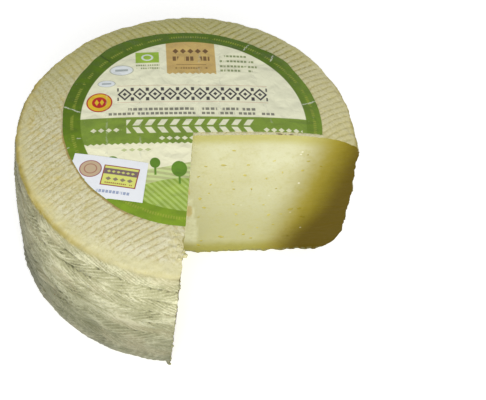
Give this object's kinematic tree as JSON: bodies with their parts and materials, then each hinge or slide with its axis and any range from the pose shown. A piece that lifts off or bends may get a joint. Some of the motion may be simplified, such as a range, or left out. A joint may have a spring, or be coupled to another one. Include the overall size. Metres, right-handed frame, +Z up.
{
  "type": "cheese wheel with a quarter cut out",
  "caption": "Aged ewe's-milk cheese wheel: domed top with pressed grooves and round paper label, mat-marked side, one quarter cut out to show the pale paste",
  "frame": {"origin": "on the wheel's axis, at the middle of the flat underside that it rests on", "axes": "+Z up along the wheel's axis; the missing quarter opens towards +X and -Y, so -Y is the front of the pictured view"},
  "size_m": [0.1946, 0.1968, 0.1082],
  "materials": {
    "cheese": "waxy satin",
    "label_paper": "satin",
    "sticker_paper": "satin"
  },
  "bodies": {
    "root": {"cheese_wheel": "cheese", "top_label": "label_paper", "control_label": "sticker_paper"}
  },
  "joints": []
}
